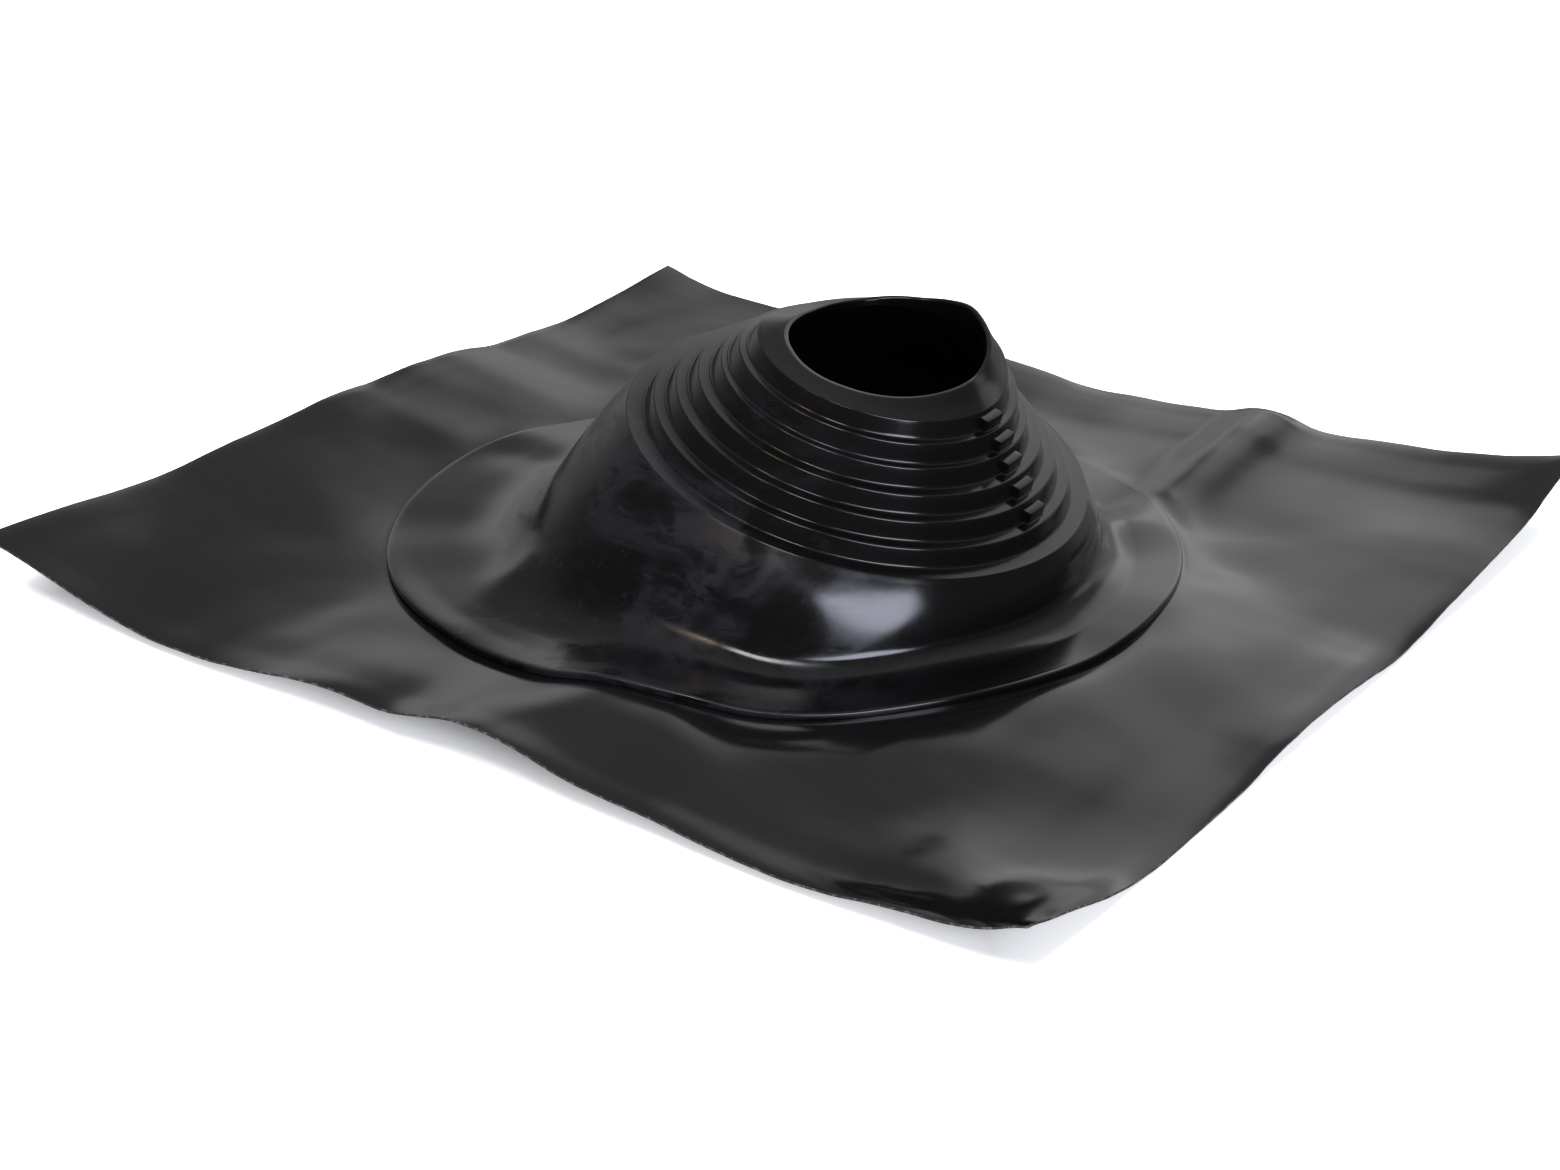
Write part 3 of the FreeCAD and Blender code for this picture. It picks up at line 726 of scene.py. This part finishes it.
def floor_material():
    m = Nodes("pale_floor")
    base = m.mix(m.noise(3.0, 2.0), (0.86, 0.86, 0.86), (0.88, 0.88, 0.88))
    m.link(base, m.bsdf.inputs["Base Color"])
    m.bsdf.inputs["Roughness"].default_value = 0.85
    m.bsdf.inputs["Specular IOR Level"].default_value = 0.2
    # painted light: the floor glows white round the object, so its shadow hardly shows, and does not glow below
    # it, where it stays dim
    split = m.tree.nodes.new("ShaderNodeSeparateXYZ")
    m.link(m.coord.outputs["Object"], split.inputs[0])
    away = m.math("MAXIMUM", m.math("ABSOLUTE", split.outputs["X"], 0.0),
                  m.math("ABSOLUTE", split.outputs["Y"], 0.0))
    m.link(m.rng(away, 0.19, 0.25, 0.0, 0.6), m.bsdf.inputs["Emission Strength"])
    m.bsdf.inputs["Emission Color"].default_value = (1.0, 1.0, 1.0, 1.0)
    m.mat.cycles.emission_sampling = "NONE"
    return m.mat


boot = boot_piece()
boot.data.materials.append(rubber_material())
# second slot: the faces inside the boot, in the same rubber with painted shade
boot.data.materials.append(shaded_inside_material())
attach(boot, "root")
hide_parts("rubber_boot")

sheet = sheet_piece()
sheet.data.materials.append(sheet_material())
sheet.data.materials.append(edge_material())
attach(sheet, "root")
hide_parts("flashing_sheet")

# ------------------------------------------------------------- floor
floor_mesh = bpy.data.meshes.new("floor")
floor_mesh.from_pydata([(-12, -12, 0), (12, -12, 0), (12, 12, 0), (-12, 12, 0)], [], [(0, 1, 2, 3)])
floor = bpy.data.objects.new("floor", floor_mesh)
scene.collection.objects.link(floor)
floor_mesh.materials.append(floor_material())
# the gloss of the object mirrors the dim room and not the white floor
floor.visible_glossy = False


# ------------------------------------------------------------- light
def area(name, pos, aim, size_x, size_y, power, colour=(1, 1, 1)):
    d = bpy.data.lights.new(name, "AREA")
    d.shape = "RECTANGLE"
    d.size, d.size_y = size_x, size_y
    d.energy = power
    d.color = colour
    o = bpy.data.objects.new(name, d)
    o.location = pos
    o.rotation_euler = (Vector(aim) - Vector(pos)).to_track_quat("-Z", "Y").to_euler()
    scene.collection.objects.link(o)
    return o


def lamp(name, az, el, dist, size_x, size_y, radiance, colour=(1, 1, 1)):
    """Soft light seen from the object at an azimuth and an elevation in degrees."""
    az, el = math.radians(az), math.radians(el)
    aim = Vector((0.06, -0.06, 0.03))
    pos = aim + Vector((math.cos(az) * math.cos(el), math.sin(az) * math.cos(el), math.sin(el))) * dist
    return area(name, pos, aim, size_x, size_y, radiance * math.pi * size_x * size_y, colour)


lamp("top_left", -76.0, 58.0, 2.4, 0.55, 0.62, 12.0)
lamp("warm", -112.0, 55.0, 2.2, 0.34, 0.5, 9.0, (1.0, 0.7, 0.45))
top = area("floor_light", (-1.0, 1.4, 3.4), (-0.8, 1.1, 0.0), 3.4, 2.6, 190.0)
top.visible_glossy = False
# it only whitens the floor
floor_only = bpy.data.collections.new("floor_only")
floor_only.objects.link(floor)
top.light_linking.receiver_collection = floor_only

world = bpy.data.worlds.new("studio")
scene.world = world
world.use_nodes = True
wt = world.node_tree
bg = wt.nodes["Background"]
coord = wt.nodes.new("ShaderNodeTexCoord")

# Soft bright areas of the room: azimuth, elevation, angle of full light, angle of none, light.
GLOW = ((105.4, 26.4, 8.0, 20.0, 0.7), (78.0, 44.0, 12.0, 45.0, 0.11), (123.0, 10.0, 30.0, 80.0, 0.115),
        (0.0, 90.0, 15.0, 60.0, 0.15), (65.0, 20.0, 4.0, 9.0, 0.45))
ROOM = 0.1
BAND, BAND_LOW = 0.24, 0.22    # the paler lower part of the room behind the object


def world_math(op, a, b):
    n = wt.nodes.new("ShaderNodeMath")
    n.operation = op
    for i, v in enumerate((a, b)):
        if isinstance(v, (int, float)):
            n.inputs[i].default_value = v
        else:
            wt.links.new(v, n.inputs[i])
    return n.outputs["Value"]


def world_dot(direction):
    n = wt.nodes.new("ShaderNodeVectorMath")
    n.operation = "DOT_PRODUCT"
    n.inputs[1].default_value = direction
    wt.links.new(coord.outputs["Generated"], n.inputs[0])
    return n.outputs["Value"]


def world_range(value, a, b, c, d):
    n = wt.nodes.new("ShaderNodeMapRange")
    n.interpolation_type = "SMOOTHSTEP"
    for k, v in zip(("From Min", "From Max", "To Min", "To Max"), (a, b, c, d)):
        n.inputs[k].default_value = v
    wt.links.new(value, n.inputs["Value"])
    return n.outputs["Result"]


light = None
for az, el, full, none, strength in GLOW:
    az, el = math.radians(az), math.radians(el)
    glow = world_range(world_dot((math.cos(az) * math.cos(el), math.sin(az) * math.cos(el), math.sin(el))),
                       math.cos(math.radians(none)), math.cos(math.radians(full)), 0.0, strength)
    light = glow if light is None else world_math("ADD", light, glow)
light = world_math("ADD", light, ROOM)
low = wt.nodes.new("ShaderNodeSeparateXYZ")
wt.links.new(coord.outputs["Generated"], low.inputs["Vector"])
sill = world_math("MULTIPLY", world_range(low.outputs["Z"], 0.1, 0.19, 0.0, BAND_LOW),
                  world_range(low.outputs["Z"], 0.26, 0.4, 1.0, 0.0))
band = world_math("ADD", world_range(low.outputs["Z"], 0.26, 0.5, BAND, 0.0), sill)
behind = world_range(world_dot((-0.45, 0.893, 0.0)), 0.45, 0.85, 0.0, 1.0)
light = world_math("ADD", light, world_math("MULTIPLY", band, behind))
light = world_math("MULTIPLY", light, world_range(low.outputs["Z"], -0.2, 0.1, 0.35, 1.0))

# The main light: a low, bluish window with a level upper edge and a round lower one.
WINDOW_AZ, WINDOW_EL, WINDOW_LIGHT = -33.5, 33.0, 8.7
waz, wel = math.radians(WINDOW_AZ), math.radians(WINDOW_EL)
across = world_dot((-math.sin(waz), math.cos(waz), 0.0))
along = world_dot((-math.sin(wel) * math.cos(waz), -math.sin(wel) * math.sin(waz), math.cos(wel)))
square = world_math("ADD", world_math("MULTIPLY", world_math("MULTIPLY", across, across), 11.6),
                    world_math("MULTIPLY", world_math("MULTIPLY", along, along), 7.0))
square = world_math("ADD", square, world_math("MULTIPLY", world_math("MULTIPLY", across, along), 7.2))
pane = world_range(square, 0.75, 1.3, WINDOW_LIGHT, 0.0)
ahead = world_range(world_dot((math.cos(waz) * math.cos(wel), math.sin(waz) * math.cos(wel), math.sin(wel))),
                    0.3, 0.4, 0.0, 1.0)
level = world_range(world_dot((-0.637, 0.661, 0.396)), -0.501, -0.451, 1.0, 0.0)
pane = world_math("MULTIPLY", world_math("MULTIPLY", pane, ahead), level)
tint = wt.nodes.new("ShaderNodeVectorMath")
tint.operation = "SCALE"
tint.inputs[0].default_value = (0.9, 0.95, 1.12)
wt.links.new(pane, tint.inputs["Scale"])
grey = wt.nodes.new("ShaderNodeCombineXYZ")
for k in ("X", "Y", "Z"):
    wt.links.new(light, grey.inputs[k])
total = wt.nodes.new("ShaderNodeVectorMath")
total.operation = "ADD"
wt.links.new(grey.outputs["Vector"], total.inputs[0])
wt.links.new(tint.outputs["Vector"], total.inputs[1])
wt.links.new(total.outputs["Vector"], bg.inputs["Color"])
bg.inputs["Strength"].default_value = 1.0

scene.view_settings.view_transform = "Standard"
scene.view_settings.look = "None"
